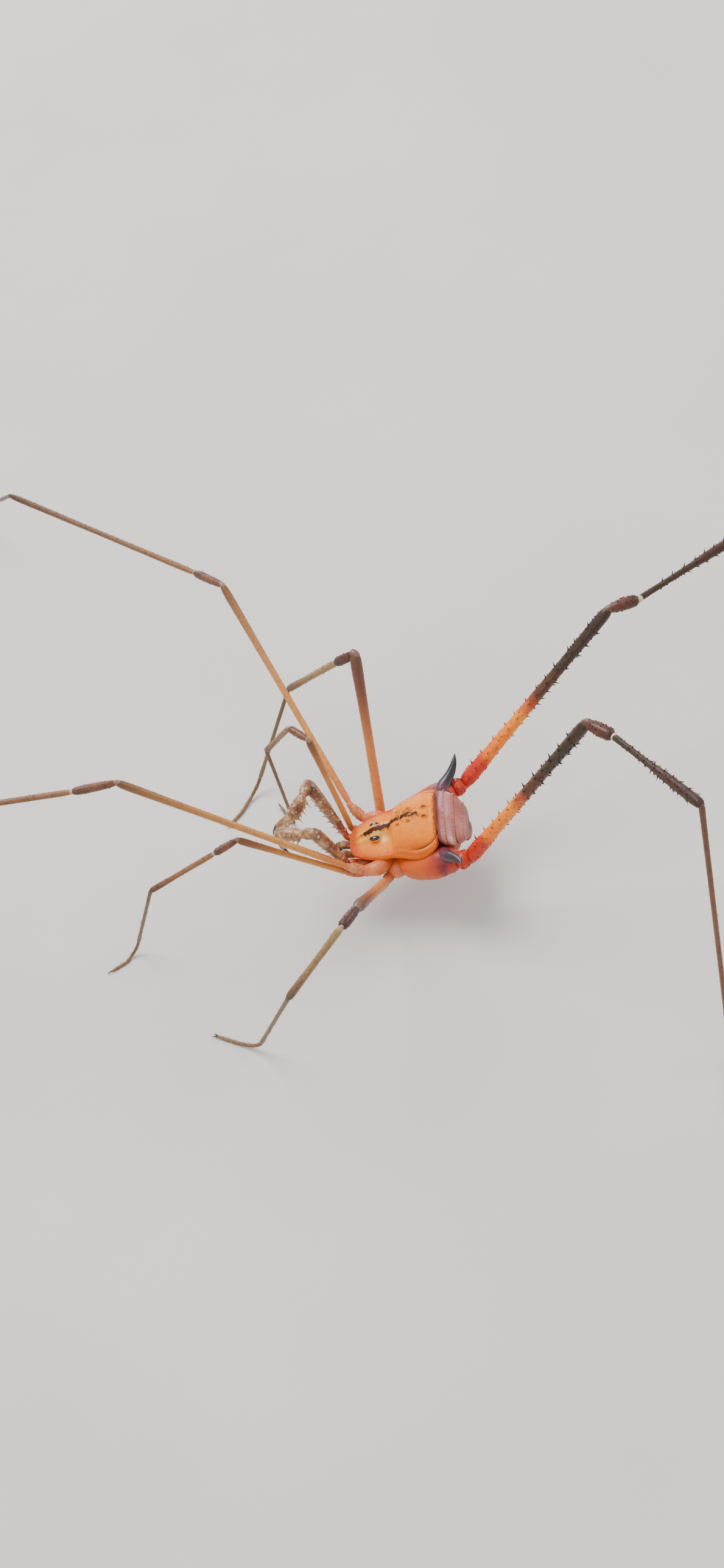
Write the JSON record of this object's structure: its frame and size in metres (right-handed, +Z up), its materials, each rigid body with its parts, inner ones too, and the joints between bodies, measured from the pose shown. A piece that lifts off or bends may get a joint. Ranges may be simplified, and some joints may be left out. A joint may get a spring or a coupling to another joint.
{
  "type": "harvestman",
  "caption": "Life-size still model of an orange long-legged harvestman standing with its legs spread wide and its front legs reaching out.",
  "frame": {"origin": "on the floor, under the middle of the whole animal's bounding box", "axes": "+Z up; the animal faces -Y, its left side is +X; Y is the longest extent, along its reaching front and hind legs"},
  "size_m": [0.0798, 0.1144, 0.0241],
  "materials": {
    "scutum": "glossy orange cuticle",
    "eye": "polished black",
    "tergite": "glossy mauve cuticle",
    "venter": "satin red-orange cuticle",
    "trochanter": "glossy pink-red cuticle",
    "red": "glossy red cuticle",
    "femur": "satin yellow-orange cuticle",
    "dark": "satin dark red-brown cuticle",
    "tibia": "satin olive-brown cuticle",
    "tarsus": "matt dark brown cuticle",
    "palp": "glossy grey-brown cuticle"
  },
  "bodies": {
    "root": {"anal_operculum": "tergite", "chelicera_left": "palp", "chelicera_right": "palp", "coxae_and_venter": "venter", "eye_left": "eye", "eye_right": "eye", "free_tergites": "tergite", "leg1_left_femur": "femur", "leg1_left_metatarsus": "tarsus", "leg1_left_patella": "dark", "leg1_left_tarsus": "tarsus", "leg1_left_tibia": "tibia", "leg1_left_trochanter": "trochanter", "leg1_right_femur": "femur", "leg1_right_metatarsus": "tarsus", "leg1_right_patella": "dark", "leg1_right_tarsus": "tarsus", "leg1_right_tibia": "tibia", "leg1_right_trochanter": "trochanter", "leg2_left_femur": "femur", "leg2_left_metatarsus": "tarsus", "leg2_left_patella": "dark", "leg2_left_tarsus": "tarsus", "leg2_left_tibia": "tibia", "leg2_left_trochanter": "trochanter", "leg2_right_femur": "femur", "leg2_right_metatarsus": "tarsus", "leg2_right_patella": "dark", "leg2_right_tarsus": "tarsus", "leg2_right_tibia": "tibia", "leg2_right_trochanter": "trochanter", "leg3_left_femur": "femur", "leg3_left_metatarsus": "tarsus", "leg3_left_patella": "dark", "leg3_left_tarsus": "tarsus", "leg3_left_tibia": "tibia", "leg3_left_trochanter": "trochanter", "leg3_right_femur": "femur", "leg3_right_metatarsus": "tarsus", "leg3_right_patella": "dark", "leg3_right_tarsus": "tarsus", "leg3_right_tibia": "tibia", "leg3_right_trochanter": "trochanter", "leg4_left_femur": "femur", "leg4_left_metatarsus": "tarsus", "leg4_left_patella": "dark", "leg4_left_tarsus": "tarsus", "leg4_left_tibia": "tibia", "leg4_left_trochanter": "red", "leg4_right_femur": "femur", "leg4_right_metatarsus": "tarsus", "leg4_right_patella": "dark", "leg4_right_tarsus": "tarsus", "leg4_right_tibia": "tibia", "leg4_right_trochanter": "red", "pedipalp_left_arm": "palp", "pedipalp_left_hand": "palp", "pedipalp_right_arm": "palp", "pedipalp_right_hand": "palp", "scutum": "scutum"}
  },
  "joints": []
}
